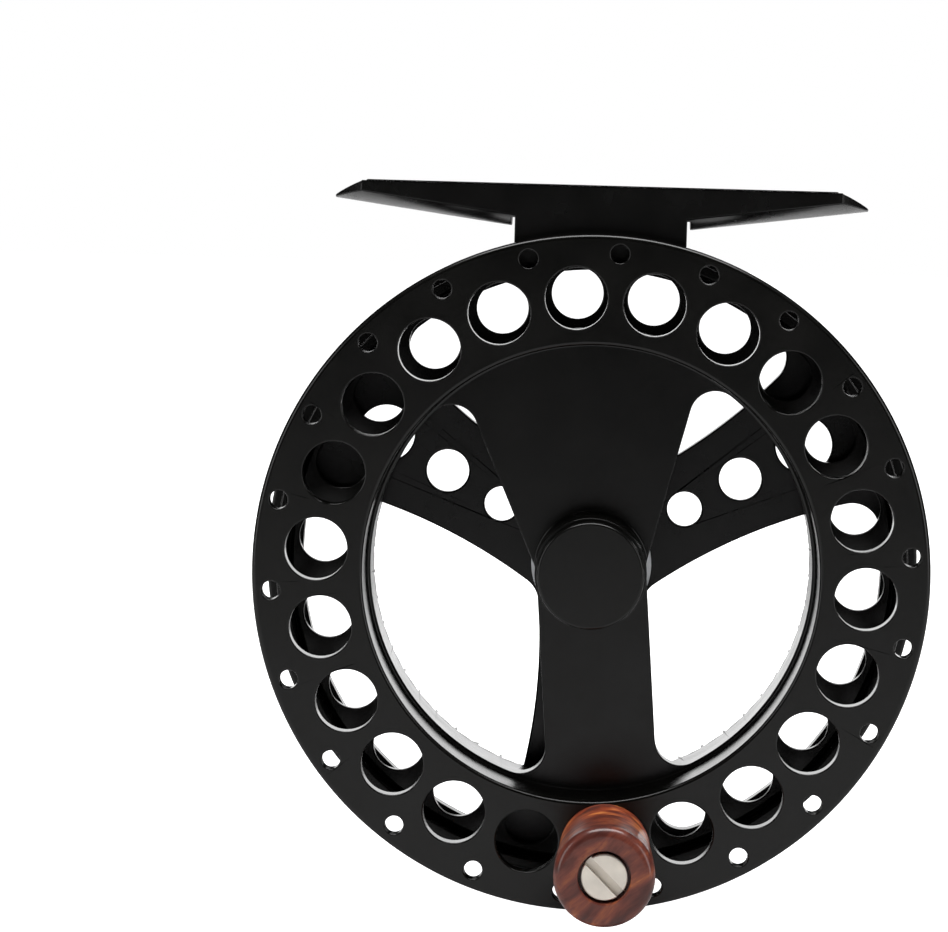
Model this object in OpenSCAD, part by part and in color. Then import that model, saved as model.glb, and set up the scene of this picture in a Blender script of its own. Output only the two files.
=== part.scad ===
// Large-arbor fly reel with a conical disc drag, in millimetres.
// Origin: middle of the foot's saddle. +X along the rod, +Z away from the reel, -Y the handle side.
// Stations called *_z are measured along the spool axis, positive towards the handle side.

/* [Spool] */
// Outer radius of the front flange
flange_r = 42; // [41:0.5:56]
// Thickness of the front flange
flange_t = 2.8; // [2:0.1:4]
// Depth of the spool from face to face
spool_depth = 21.4; // [17.8:0.2:32]
// How far the rear flange's edge lies inside the front flange's
rear_flange_step = 3.7; // [3:0.1:6]
// Thickness of the rear flange
rear_flange_t = 1.4; // [1:0.1:2.5]
// Inner radius of the arbor behind the web
arbor_r = 27.6; // [22:0.1:30]
// Extra inner radius of the arbor in front of the web
arbor_step = 0.7; // [0.3:0.1:1.4]
// Wall of the arbor at its thicker part
arbor_wall = 2.3; // [1.8:0.1:3]
// Depth from the front face to the web
web_drop = 9.8; // [6:0.1:12]
// Thickness of the web
web_t = 3.2; // [2:0.1:5]
// Half width of the narrow spoke
spoke_half_w = 6.9; // [5:0.1:9]
// Half width of the counterweight fan at the spool axis
fan_root_half_w = 7.75; // [7:0.05:10]
// Slope of each side of the fan, in degrees
fan_slope = 15.5; // [8:0.5:24]
// Fillet in the corners of the spool's two windows
web_fillet = 3.2; // [1:0.1:5]
// Cove where the web runs up into the arbor wall
web_cove = 1.8; // [0.5:0.1:3]
// Angle of the handle from straight down, towards +X, in degrees
handle_lean = 4.6; // [-180:0.1:180]

/* [Spool holes] */
// Places in the ring of large holes, one of them the handle's
hole_count = 22; // [16:1:24]
// Radius of the large holes in the front flange
front_hole_r = 3.88; // [2:0.02:4]
// Radius of the holes in the rear flange
rear_hole_r = 3.27; // [2:0.01:3.8]
// Metal left between the arbor and the large front holes
hole_web = 0.38; // [0.2:0.02:2]
// Radius of the small rim holes
rim_hole_r = 1.15; // [0.5:0.05:1.4]
// Distance of the small rim holes from the flange's edge
rim_hole_inset = 2.3; // [1.8:0.1:2.6]
// Scallops round the rear mouth of the arbor
scallop_count = 52; // [24:1:56]
// Radius of a scallop
scallop_r = 1.2; // [0.6:0.05:1.3]
// How far the scallops' centres lie outside the arbor's inner wall
scallop_offset = 0.5; // [0:0.1:0.8]
// Depth of a scallop along the axis
scallop_depth = 2; // [0.5:0.1:4]

/* [Frame] */
// Thickness of the frame's back plate
plate_t = 3; // [2.6:0.1:5]
// Running gap between the rear flange and the back plate
rear_gap = 0.8; // [0.6:0.05:2]
// Running gap between the rear flange's edge and the frame's skirt
rim_gap = 0.6; // [0.3:0.05:1.5]
// Wall of the skirt
skirt_t = 1.3; // [0.8:0.1:2.5]
// Reach of the skirt in front of the back plate
skirt_reach = 4.7; // [3:0.1:8]
// How far the back plate stands out past the skirt
plate_lip = 1.4; // [0.5:0.1:3]
// How far the frame windows stay inside the skirt's inner wall
window_ledge = 1.9; // [0.5:0.1:4]
// Fillet in the corners of the frame windows
window_fillet = 3.5; // [1:0.1:5]
// Half width of a frame spoke at its waist
waist_half_w = 6.4; // [5:0.1:7.5]
// Distance of a spoke's waist from the spool axis
waist_at = 12; // [8:0.5:16]
// Radius of the hollow sides of a frame spoke
spoke_side_r = 72; // [50:1:120]
// Depth of the pockets in the back of the spokes
pocket_depth = 1.5; // [0.5:0.1:1.6]
// Rim of metal left round a pocket
pocket_inset = 2.1; // [1:0.1:3]
// Distance of a pocket's inner end from the spool axis
pocket_start = 6.3; // [6.2:0.1:8]
// Fillet in the corners of a pocket
pocket_fillet = 2.5; // [0.5:0.1:3]
// Radii of the three holes in each spoke, outer one first
spoke_hole_r = [3.6, 2.7, 2.2]; // [1:0.1:3.8]
// Distance of the outer hole from the window's outer wall
spoke_hole_inset = 6.2; // [5:0.1:8]
// Steps from hole to hole, going inwards
spoke_hole_step = [9.2, 8.1]; // [7:0.1:12]

/* [Foot] */
// Length of the foot along the rod
foot_len = 66.8; // [56:0.2:80]
// Width of the foot and of its neck
foot_w = 13.5; // [10:0.1:16]
// Radius of the saddle that takes the reel seat
saddle_r = 12.9; // [9:0.1:16]
// Radius of the rounded tips of the foot
tip_r = 8.13; // [7:0.01:12]
// Thickness of the foot at its tips
tip_t = 0.4; // [0.3:0.1:1]
// Thickness of a wing beside the neck
wing_root_t = 3.4; // [2:0.1:4]
// Sag of the rounded underside across the foot
wing_sag = 1.45; // [0.5:0.05:2]
// Half width of the neck along the rod
neck_half_w = 10.7; // [8:0.1:14]
// Height of the saddle above the frame's bridge
foot_rise = 4.7; // [4.2:0.1:8]
// Width of the relief slots beside the neck
relief_w = 0.45; // [0.2:0.05:1]
// Height of the relief slots above the underside
relief_h = 1.2; // [0.2:0.1:1.8]
// Outer wall of the bridge that carries the foot, above the skirt
bridge_extra = 1; // [0.6:0.1:2]
// How far the foot's centre lies in front of the reel's middle
foot_forward = 0.6; // [-1:0.1:1.5]
// Distance between the two foot screws
foot_screw_gap = 10; // [8:0.2:12]
// Shank radius of a foot screw
foot_screw_r = 1.5; // [1:0.1:1.6]
// Head radius of a foot screw
foot_screw_head_r = 2.7; // [2.2:0.1:2.8]

/* [Hub and drag] */
// Radius of the spindle
spindle_r = 2; // [1.5:0.1:2.2]
// Outer radius of a bearing
bearing_r = 4.5; // [4.3:0.1:4.6]
// Width of a bearing
bearing_w = 4; // [3:0.1:4.2]
// Outer radius of the hub sleeve
sleeve_r = 5.6; // [5.4:0.05:5.8]
// Wall of the spool's hub
hub_wall = 1.55; // [1:0.05:2]
// Radius of the hub cap
cap_r = 6.9; // [6.5:0.1:7.2]
// How far the hub cap stands out of the front face
cap_proud = 3.1; // [1:0.1:5]
// Thickness of the hub cap
cap_t = 2.9; // [2:0.1:4]
// Outer radius of the drag cup
cup_r = 7.6; // [7.4:0.1:8]
// Mouth radius of the drag cup's cone
cone_mouth_r = 6.8; // [6.6:0.05:7]
// Half angle of the drag cone, in degrees
cone_slope = 15; // [10:1:16]
// Outer radius of the one-way clutch
clutch_r = 4.4; // [4.2:0.05:4.6]
// Least wall of the drag cone round the clutch
cone_wall = 0.45; // [0.3:0.05:0.6]
// Radius of the drag knob
knob_r = 7.8; // [7:0.1:8]
// Length of the drag knob
knob_len = 5.8; // [5.4:0.1:9]
// Grip flutes round the drag knob
knob_flutes = 14; // [8:1:20]
// Thread pitch of the spindle in the drag knob
drag_pitch = 0.5; // [0.35:0.05:0.5]
// Turn of the drag knob from loose to full drag, in degrees
drag_turn = 330; // [90:10:340]

/* [Handle] */
// Length of the handle knob
handle_len = 24.4; // [16:0.2:34]
// Radius of the handle knob at the flange
handle_base_r = 5.2; // [4.5:0.1:6]
// Greatest radius of the handle knob
handle_r = 6.1; // [5:0.1:7]
// Radius of the rounded outer edge
handle_round = 1.2; // [0.4:0.1:2]
// Shank radius of the handle screw
handle_screw_r = 1.5; // [1:0.1:1.8]
// Head radius of the handle screw
handle_head_r = 2.8; // [2.5:0.1:3.2]
// Width of the slot in the handle screw
slot_w = 1.1; // [0.6:0.1:1.4]
// Angle of the slot from +X, in degrees
slot_angle = 131; // [0:1:180]
// Wall of the sleeve that the knob turns on
handle_sleeve_t = 0.68; // [0.4:0.02:0.8]

/* [Fits] */
// Radial clearance of a running fit
run_fit = 0.05; // [0.02:0.01:0.08]
// Radial clearance of a fixed fit
fixed_fit = 0.02; // [0.01:0.005:0.04]
// Gap between faces that turn past each other
face_gap = 0.3; // [0.3:0.05:0.5]

/* [Hidden] */
$fn = 96;
curve_fn = 180;
hull_fn = 32;
cut = 1; // overrun of a cutting tool

// Radii of the spool
arbor_front_r = arbor_r + arbor_step;
arbor_out_r = arbor_r + arbor_wall;
rear_flange_r = flange_r - rear_flange_step;
hole_ring_r = arbor_out_r + hole_web + front_hole_r;
hole_pitch = 360 / hole_count;
rim_ring_r = flange_r - rim_hole_inset;
flange_edge = 0.45; // edge break of the front flange
web_overlap = 0.05; // how far the web runs into the arbor wall

// Radii of the frame
skirt_in_r = rear_flange_r + rim_gap;
skirt_out_r = skirt_in_r + skirt_t;
frame_r = skirt_out_r + plate_lip;
window_r = skirt_in_r - window_ledge;
bridge_r = skirt_out_r + bridge_extra;
axis_drop = bridge_r + foot_rise;
plate_edge = 0.7; // edge break of the back plate
spoke_angles = [30, 150, 270];
pocket_end_r = window_r + 0.5;

// Stations along the spool axis
front_z = (spool_depth + rear_gap + plate_t) / 2 - foot_forward;
flange_back_z = front_z - flange_t;
web_z = front_z - web_drop;
hub_rear_z = web_z - web_t;
rear_flange_z = front_z - spool_depth;
plate_front_z = rear_flange_z - rear_gap;
plate_rear_z = plate_front_z - plate_t;
skirt_front_z = plate_front_z + skirt_reach;

// Drag: the knob draws the spindle back by this much
drag_travel = drag_pitch * drag_turn / 360;
drag_rest_gap = drag_travel * tan(cone_slope) + 0.04;

// Hub, from the sleeve's flange forwards
hub_gap = 0.15; // seating gap between the spool and the sleeve's flange
sleeve_flange_t = 1.2;
sleeve_flange_z = hub_rear_z - hub_gap;
cone_front_z = sleeve_flange_z - sleeve_flange_t;
hub_bore_r = sleeve_r + run_fit;
hub_r = hub_bore_r + hub_wall;
hub_front_z = front_z + cap_proud - cap_t;
sleeve_front_z = hub_front_z - 1.6;
front_bearing_z = sleeve_front_z - 0.55 - bearing_w;
rear_bearing_z = hub_rear_z;
race_t = 0.6;
ball_count = 9;
ball_ring_r = (spindle_r + bearing_r) / 2;
ball_r = (bearing_r - spindle_r) / 2 - race_t - run_fit;
circlip_t = 0.4;
ring_section_r = 0.33; // section radius of the O-rings
ring_groove = 0.9; // width of an O-ring groove
dog_half_w = 1; // drive dogs between the sleeve and the spool
dog_h = 1.1;
dog_gap = 0.3;

// Drag cup and cone
cup_floor_t = 0.8;
cone_nose_r = clutch_r + cone_wall;
cup_front_z = cone_front_z - drag_travel - 0.15;
cup_floor_z = plate_front_z + cup_floor_t;
cone_rear_z = cup_floor_z + drag_travel + 0.15;
spigot_r = 5;
spigot_h = plate_t - 1.2;
neck_r = spindle_r + 1;
roller_r = 0.42;
roller_count = 10;
clutch_z = cone_rear_z + 0.3;
clutch_len = cone_front_z - 0.25 - clutch_z;
flat_half = spindle_r - 0.4; // half distance across the spindle's flats
flats_front_z = plate_front_z - spigot_h + drag_travel + 0.1;

// Drag knob, from the back plate rearwards
knob_front_z = plate_rear_z - 0.4;
knob_rear_z = knob_front_z - knob_len;
washer_r = 4.8;
washer_t = 0.35;
washer_h = 0.25;
washer_count = 4;
washer_step = washer_t + washer_h + 0.02;
knob_shoulder_z = plate_rear_z - washer_count * washer_step - 0.1;
insert_r = 3.6;
knob_cap_r = 4.2;
knob_cap_t = 0.8;
knob_cap_z = knob_rear_z + 0.2;
insert_rear_z = knob_cap_z + knob_cap_t + 0.1;
spindle_rear_z = knob_cap_z + knob_cap_t + drag_travel + 0.15;
spindle_nut_t = 1.2;
spindle_washer_t = 0.3;
spindle_front_z = front_bearing_z + bearing_w + spindle_washer_t + spindle_nut_t + 0.2;

// Handle
handle_base_z = front_z + face_gap;
handle_end_z = handle_base_z + handle_len;
handle_head_t = 1.5;
handle_head_z = handle_end_z - 0.3 - handle_head_t;
handle_sleeve_r = handle_screw_r + fixed_fit + handle_sleeve_t;
head_pocket_r = handle_head_r + 0.35;

// Foot
foot_half = foot_len / 2;
saddle_side_h = saddle_r - sqrt(saddle_r * saddle_r - foot_w * foot_w / 4);
under_r = (foot_w * foot_w / 4 + wing_sag * wing_sag) / (2 * wing_sag);
wing_slope = atan((wing_root_t - tip_t) / (foot_half - neck_half_w));
foot_screw_top = axis_drop - 1.7;
foot_head_z = skirt_in_r + 0.15;
foot_head_h = foot_screw_head_r - foot_screw_r;

// Stands what is drawn round the origin, facing +Z, on the spool axis, facing the handle side
module on_axis() translate([0, 0, -axis_drop]) rotate([90, 0, 0]) children();

// The same, turned with the spool to the handle's rest angle
module on_spool() on_axis() rotate(handle_lean) children();

// Round wall between two radii and two stations
module ring(r_out, r_in, z_low, z_high) {
    translate([0, 0, z_low]) difference() {
        cylinder(r = r_out, h = z_high - z_low);
        translate([0, 0, -cut]) cylinder(r = r_in, h = z_high - z_low + 2 * cut);
    }
}

// Plain drilled hole at a radius and an angle
module hole_at(ring_r, angle, r, z_low, z_high) {
    rotate(angle) translate([ring_r, 0, z_low]) cylinder(r = r, h = z_high - z_low);
}

// O-ring lying in a groove
module o_ring(centre_r, z) {
    rotate_extrude() translate([centre_r, z]) circle(r = ring_section_r, $fn = hull_fn);
}

// Rounds every outward corner of a flat shape
module rounded(r) offset(r = r, $fn = 64) offset(delta = -r) children();

// ---- Frame ----

// Turned blank: back plate with a skirt round the rear flange
module frame_blank() {
    rotate_extrude() polygon([
        [0, plate_rear_z],
        [frame_r - plate_edge, plate_rear_z],
        [frame_r, plate_rear_z + plate_edge],
        [frame_r, plate_front_z],
        [skirt_out_r, plate_front_z],
        [skirt_out_r, skirt_front_z],
        [skirt_in_r, skirt_front_z],
        [skirt_in_r, plate_front_z],
        [0, plate_front_z]
    ]);
}

// Disc on one side of a spoke that lies along +X: its edge is the spoke's hollow side
module side_disc(side, extra) {
    translate([waist_at, side * (waist_half_w + spoke_side_r)]) circle(r = spoke_side_r + extra, $fn = 360);
}

// Window between the spokes at 30 and 150 degrees
module frame_window() {
    rounded(window_fillet) intersection() {
        circle(r = window_r, $fn = curve_fn);
        rotate(spoke_angles[0]) side_disc(1, 0);
        rotate(spoke_angles[1]) side_disc(-1, 0);
    }
}

// Pocket in the back of the spoke that lies along +X
module spoke_pocket() {
    rounded(pocket_fillet) difference() {
        intersection() {
            circle(r = pocket_end_r, $fn = curve_fn);
            translate([pocket_start, -window_r]) square([window_r, 2 * window_r]);
        }
        side_disc(1, pocket_inset);
        side_disc(-1, pocket_inset);
    }
}

// Block over the skirt that carries the foot
module foot_bridge() {
    intersection() {
        ring(bridge_r, skirt_in_r, plate_front_z - 0.5, foot_w / 2);
        translate([-neck_half_w, 0, plate_front_z - 0.5])
            cube([2 * neck_half_w, bridge_r + cut, foot_w / 2 - plate_front_z + 0.5]);
    }
}

// Countersunk hole for one foot screw, along +Y of the spool axis frame
module foot_screw_hole(x) {
    translate([x, 0, 0]) rotate([-90, 0, 0]) {
        cylinder(r = foot_screw_r + run_fit, h = axis_drop);
        cylinder(r = foot_screw_head_r + run_fit, h = foot_head_z);
        translate([0, 0, foot_head_z])
            cylinder(r1 = foot_screw_head_r + run_fit, r2 = foot_screw_r + run_fit, h = foot_head_h);
    }
}

module frame() {
    color("#16171a") on_axis() difference() {
        union() {
            frame_blank();
            foot_bridge();
        }
        for (turn = [0, 120, 240])
            rotate(turn) translate([0, 0, plate_rear_z - cut])
                linear_extrude(plate_t + 2 * cut) frame_window();
        for (angle = spoke_angles) rotate(angle) {
            translate([0, 0, plate_rear_z - cut]) linear_extrude(pocket_depth + cut) spoke_pocket();
            for (i = [0:2])
                translate([window_r - spoke_hole_inset - (i > 0 ? spoke_hole_step[0] : 0)
                    - (i > 1 ? spoke_hole_step[1] : 0), 0, plate_rear_z - cut])
                    cylinder(r = spoke_hole_r[i], h = plate_t + 2 * cut);
        }
        // seat of the drag cup, and the flatted hole that keeps the spindle from turning
        translate([0, 0, plate_front_z - spigot_h]) cylinder(r = spigot_r + fixed_fit, h = spigot_h + cut);
        translate([0, 0, plate_rear_z - cut]) intersection() {
            cylinder(r = spindle_r + run_fit, h = plate_t);
            translate([-(flat_half + run_fit), -spindle_r - cut, 0])
                cube([2 * (flat_half + run_fit), 2 * (spindle_r + cut), plate_t]);
        }
        for (side = [-1, 1]) foot_screw_hole(side * foot_screw_gap / 2);
    }
}

// ---- Foot ----

// Outline of the foot from above
module foot_plan() {
    intersection() {
        square([foot_len, foot_w], center = true);
        union() {
            square([foot_len - 2 * tip_r, foot_w], center = true);
            for (side = [-1, 1]) translate([side * (foot_half - tip_r), 0]) circle(r = tip_r);
        }
    }
}

// Wing on the +X side: its underside is part of a leaning cylinder
module wing() {
    intersection() {
        translate([0, 0, -axis_drop / 2]) linear_extrude(axis_drop) foot_plan();
        translate([0, -foot_w, -axis_drop / 2]) cube([foot_len, 2 * foot_w, axis_drop / 2 + saddle_side_h]);
        translate([foot_half, 0, -tip_t]) rotate([0, -wing_slope, 0]) translate([0, 0, under_r])
            rotate([0, 90, 0]) cylinder(r = under_r, h = 3 * foot_len, center = true);
    }
}

module reel_foot() {
    color("#17181b") difference() {
        union() {
            wing();
            mirror([1, 0, 0]) wing();
            difference() {
                translate([-neck_half_w, -foot_w / 2, -foot_rise - 2])
                    cube([2 * neck_half_w, foot_w, foot_rise + 2]);
                translate([0, 0, -axis_drop]) rotate([90, 0, 0])
                    cylinder(r = bridge_r, h = 2 * foot_w, center = true);
            }
        }
        translate([0, 0, saddle_r]) rotate([0, 90, 0]) cylinder(r = saddle_r, h = 2 * foot_len, center = true);
        for (side = [-1, 1]) {
            translate([side * foot_screw_gap / 2, 0, -axis_drop])
                cylinder(r = foot_screw_r + fixed_fit, h = foot_screw_top + 0.1);
            translate([side * (neck_half_w + relief_w / 2), 0, -wing_root_t])
                cube([relief_w, 2 * foot_w, 2 * relief_h], center = true);
        }
    }
}

module foot_screws() {
    color("silver") for (side = [-1, 1]) translate([side * foot_screw_gap / 2, 0, -axis_drop]) difference() {
        union() {
            translate([0, 0, foot_head_z])
                cylinder(r1 = foot_screw_head_r, r2 = foot_screw_r, h = foot_head_h);
            translate([0, 0, foot_head_z]) cylinder(r = foot_screw_r, h = foot_screw_top - foot_head_z);
        }
        // hexagon socket
        translate([0, 0, foot_head_z - cut]) cylinder(r = 1.1, h = cut + 0.9, $fn = 6);
    }
}

// ---- Drag ----

// Radius of the cup's inner cone at a station: straight past the knee, where the cone's nose is thinnest
function cup_cone_r(z) = max(cone_nose_r + drag_rest_gap, cone_mouth_r - (cup_front_z - z) * tan(cone_slope));
knee_z = cup_front_z - (cone_mouth_r - cone_nose_r - drag_rest_gap) / tan(cone_slope);

module drag_cup() {
    color("#8f9398") on_axis() rotate_extrude() polygon([
        [spindle_r + run_fit, plate_front_z - spigot_h],
        [spigot_r, plate_front_z - spigot_h],
        [spigot_r, plate_front_z],
        [cup_r, plate_front_z],
        [cup_r, cup_front_z],
        [cone_mouth_r, cup_front_z],
        if (knee_z > cup_floor_z) [cup_cone_r(knee_z), knee_z],
        [cup_cone_r(cup_floor_z), cup_floor_z],
        [spindle_r + run_fit, cup_floor_z]
    ]);
}

module drag_cone() {
    color("#e8e4d8") on_axis() rotate_extrude() polygon([
        [clutch_r + fixed_fit, cone_rear_z],
        [cup_cone_r(cone_rear_z) - drag_rest_gap, cone_rear_z],
        if (knee_z > cone_rear_z) [cone_nose_r, knee_z],
        [cup_cone_r(cone_front_z) - drag_rest_gap, cone_front_z],
        [clutch_r + fixed_fit, cone_front_z]
    ]);
}

module clutch_shell() {
    color("silver") on_axis()
        ring(clutch_r, neck_r + 2 * roller_r + 0.06, clutch_z, clutch_z + clutch_len);
}

module clutch_rollers() {
    color("lightgray") on_axis() for (i = [0:roller_count - 1])
        hole_at(neck_r + roller_r + 0.03, i * 360 / roller_count, roller_r,
            clutch_z + 0.2, clutch_z + clutch_len - 0.2);
}

// Stack of cupped washers, each one turned over on the last
module spring_washers() {
    color("#6d7075") on_axis() for (i = [0:washer_count - 1]) {
        top = plate_rear_z - 0.02 - i * washer_step;
        inner = i % 2 == 0 ? washer_h : 0;
        outer = washer_h - inner;
        rotate_extrude() polygon([
            [spindle_r + 0.15, top - inner],
            [washer_r, top - outer],
            [washer_r, top - outer - washer_t],
            [spindle_r + 0.15, top - inner - washer_t]
        ]);
    }
}

module drag_knob() {
    color("#17181b") on_axis() difference() {
        rotate_extrude() polygon([
            [insert_r + fixed_fit, insert_rear_z],
            [knob_cap_r + fixed_fit, insert_rear_z],
            [knob_cap_r + fixed_fit, knob_rear_z],
            [knob_r - 0.6, knob_rear_z],
            [knob_r, knob_rear_z + 0.6],
            [knob_r, knob_front_z - 0.4],
            [knob_r - 0.4, knob_front_z],
            [washer_r + 0.4, knob_front_z],
            [washer_r + 0.4, knob_shoulder_z],
            [insert_r + fixed_fit, knob_shoulder_z]
        ]);
        for (i = [0:knob_flutes - 1])
            hole_at(knob_r + 0.5, i * 360 / knob_flutes, 1, knob_rear_z - cut, knob_front_z - 1.2);
    }
}

module knob_insert() {
    color("goldenrod") on_axis() ring(insert_r, spindle_r + run_fit, insert_rear_z, knob_shoulder_z);
}

module knob_cap() {
    color("#1b1c1f") on_axis() translate([0, 0, knob_cap_z]) cylinder(r = knob_cap_r, h = knob_cap_t);
}

// ---- Spindle, sleeve and bearings ----

module spindle() {
    color("silver") on_axis() difference() {
        translate([0, 0, spindle_rear_z]) cylinder(r = spindle_r, h = spindle_front_z - spindle_rear_z);
        for (side = [-1, 1])
            translate([side * (flat_half + spindle_r), 0, flats_front_z - 5])
                cube([2 * spindle_r, 4 * spindle_r, 10], center = true);
    }
}

module spindle_washer() {
    color("silver") on_axis() ring(neck_r + 0.3, spindle_r + fixed_fit,
        front_bearing_z + bearing_w, front_bearing_z + bearing_w + spindle_washer_t);
}

module spindle_nut() {
    z = front_bearing_z + bearing_w + spindle_washer_t;
    color("silver") on_axis() difference() {
        translate([0, 0, z]) cylinder(r = neck_r + 0.5, h = spindle_nut_t, $fn = 6);
        translate([0, 0, z - cut]) cylinder(r = spindle_r + fixed_fit, h = spindle_nut_t + 2 * cut);
    }
}

// Turned sleeve: drive flange, bearing seats, and a thin neck inside the clutch
module hub_sleeve() {
    color("#b9bcc0") on_axis() difference() {
        union() {
            rotate_extrude() polygon([
                [spindle_r + 0.06, cone_rear_z],
                [neck_r, cone_rear_z],
                [neck_r, cone_front_z],
                [hub_r - 0.2, cone_front_z],
                [hub_r - 0.2, sleeve_flange_z],
                [sleeve_r, sleeve_flange_z],
                [sleeve_r, sleeve_front_z - 0.3],
                [sleeve_r - 0.3, sleeve_front_z],
                [bearing_r + fixed_fit, sleeve_front_z],
                [bearing_r + fixed_fit, rear_bearing_z],
                [spindle_r + 0.06, rear_bearing_z]
            ]);
            // drive dogs that turn the spool
            rotate(handle_lean) for (side = [0, 180]) rotate(side) intersection() {
                ring(hub_r - 0.2, sleeve_r - 0.2, sleeve_flange_z - 0.1, sleeve_flange_z + dog_h);
                translate([0, -dog_half_w, sleeve_flange_z - 0.1])
                    cube([hub_r, 2 * dog_half_w, dog_h + 0.1]);
            }
        }
        // grooves of the spool ring and the circlip
        ring(sleeve_r + cut, sleeve_r - 2 * ring_section_r - 0.03,
            ring_groove_z - ring_groove / 2, ring_groove_z + ring_groove / 2);
        ring(bearing_r + 0.3, bearing_r - cut, circlip_z - 0.02, circlip_z + circlip_t + 0.02);
    }
}
ring_groove_z = (rear_bearing_z + front_bearing_z + bearing_w) / 2;
circlip_z = front_bearing_z + bearing_w + 0.02;

module bearing_inner(z) ring(spindle_r + fixed_fit + race_t, spindle_r + fixed_fit, z, z + bearing_w);

module bearing_outer(z) ring(bearing_r, bearing_r - race_t, z, z + bearing_w);

module bearing_balls(z) {
    for (i = [0:ball_count - 1])
        rotate(i * 360 / ball_count) translate([ball_ring_r, 0, z + bearing_w / 2])
            sphere(r = ball_r, $fn = hull_fn);
}

module rear_bearing_inner() color("silver") on_axis() bearing_inner(rear_bearing_z);
module rear_bearing_balls() color("white") on_axis() bearing_balls(rear_bearing_z);
module rear_bearing_outer() color("silver") on_axis() bearing_outer(rear_bearing_z);
module front_bearing_inner() color("silver") on_axis() bearing_inner(front_bearing_z);
module front_bearing_balls() color("white") on_axis() bearing_balls(front_bearing_z);
module front_bearing_outer() color("silver") on_axis() bearing_outer(front_bearing_z);

module bearing_spacer() {
    color("#b9bcc0") on_axis()
        ring(bearing_r, bearing_r - race_t, rear_bearing_z + bearing_w, front_bearing_z);
}

module bearing_circlip() {
    color("#5c5f63") on_axis() difference() {
        ring(bearing_r + 0.25, bearing_r - race_t, circlip_z, circlip_z + circlip_t);
        translate([0, -0.6, circlip_z - cut]) cube([bearing_r + cut, 1.2, circlip_t + 2 * cut]);
    }
}

module spool_ring() color("black") on_axis() o_ring(sleeve_r - ring_section_r, ring_groove_z);

// ---- Spool ----

// Turned blank: two flanges on a stepped arbor
module spool_blank() {
    rotate_extrude() polygon([
        [arbor_front_r, web_z],
        [arbor_front_r, front_z - flange_edge],
        [arbor_front_r + flange_edge, front_z],
        [flange_r - flange_edge, front_z],
        [flange_r, front_z - flange_edge],
        [flange_r, flange_back_z + flange_edge],
        [flange_r - flange_edge, flange_back_z],
        [arbor_out_r, flange_back_z],
        [arbor_out_r, rear_flange_z + rear_flange_t],
        [rear_flange_r, rear_flange_z + rear_flange_t],
        [rear_flange_r, rear_flange_z],
        [arbor_r, rear_flange_z],
        [arbor_r, web_z]
    ]);
}

// Window on the +X side, between the narrow spoke below and the fan above
module spool_window() {
    rounded(web_fillet) intersection() {
        circle(r = arbor_r + web_overlap, $fn = curve_fn);
        translate([spoke_half_w, -2 * arbor_r]) square([2 * arbor_r, 4 * arbor_r]);
        translate([fan_root_half_w, 0]) rotate(-fan_slope) translate([0, -2 * arbor_r])
            square([2 * arbor_r, 4 * arbor_r]);
    }
}

// Web: narrow spoke to the handle, fan-shaped counterweight opposite
module web_outline() {
    difference() {
        circle(r = arbor_r + arbor_step / 2);
        circle(r = hub_bore_r);
        spool_window();
        mirror([1, 0]) spool_window();
    }
}

// Cove between the web's face and a round wall, on the hollow side of that wall
module cove(wall_r, inward) {
    rotate_extrude() difference() {
        translate([inward ? wall_r - web_cove : wall_r, web_z - 0.1])
            square([web_cove, web_cove + 0.1]);
        translate([inward ? wall_r - web_cove : wall_r + web_cove, web_z + web_cove])
            circle(r = web_cove);
    }
}

module spool() {
    color("#141518") on_spool() difference() {
        union() {
            spool_blank();
            translate([0, 0, hub_rear_z]) linear_extrude(web_t) web_outline();
            ring(hub_r, hub_bore_r, hub_rear_z, hub_front_z);
            intersection() {
                union() {
                    cove(arbor_front_r, true);
                    cove(hub_r, false);
                }
                translate([0, 0, web_z - cut]) linear_extrude(web_cove + 2 * cut) union() {
                    web_outline();
                    difference() {
                        circle(r = arbor_out_r);
                        circle(r = arbor_r);
                    }
                }
            }
        }
        for (i = [0:hole_count - 1]) {
            if (i > 0)
                hole_at(hole_ring_r, i * hole_pitch - 90, front_hole_r, flange_back_z - cut, front_z + cut);
            hole_at(rim_ring_r, (i + 0.5) * hole_pitch - 90, rim_hole_r, flange_back_z - cut, front_z + cut);
            hole_at(hole_ring_r, i * hole_pitch - 90, rear_hole_r,
                rear_flange_z - cut, rear_flange_z + rear_flange_t + cut);
        }
        hole_at(hole_ring_r, -90, handle_screw_r + fixed_fit, flange_back_z - cut, front_z + cut);
        for (i = [0:scallop_count - 1])
            hole_at(arbor_r + scallop_offset, (i + 0.5) * 360 / scallop_count, scallop_r,
                rear_flange_z - cut, rear_flange_z + scallop_depth);
        // notches for the drive dogs
        for (side = [0, 180]) rotate(side)
            translate([0, -dog_half_w - dog_gap, hub_rear_z - cut])
                cube([hub_r - 0.2 + dog_gap, 2 * (dog_half_w + dog_gap), cut + dog_h + dog_gap - hub_gap]);
    }
}

module hub_cap() {
    skirt_r = hub_bore_r - fixed_fit;
    groove_z = hub_front_z - 0.65;
    color("#1d1e21") on_spool() difference() {
        rotate_extrude() polygon([
            [0, hub_front_z],
            [skirt_r - 1.25, hub_front_z],
            [skirt_r - 1.25, sleeve_front_z + face_gap],
            [skirt_r, sleeve_front_z + face_gap],
            [skirt_r, hub_front_z],
            [cap_r, hub_front_z],
            [cap_r, hub_front_z + cap_t - 0.3],
            [cap_r - 0.3, hub_front_z + cap_t],
            [0, hub_front_z + cap_t]
        ]);
        ring(skirt_r + 0.5, skirt_r - 2 * ring_section_r - 0.03,
            groove_z - ring_groove / 2 + 0.05, groove_z + ring_groove / 2 - 0.05);
    }
}

module cap_ring() color("black") on_spool() o_ring(hub_bore_r - fixed_fit - ring_section_r, hub_front_z - 0.65);

// ---- Handle ----

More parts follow.
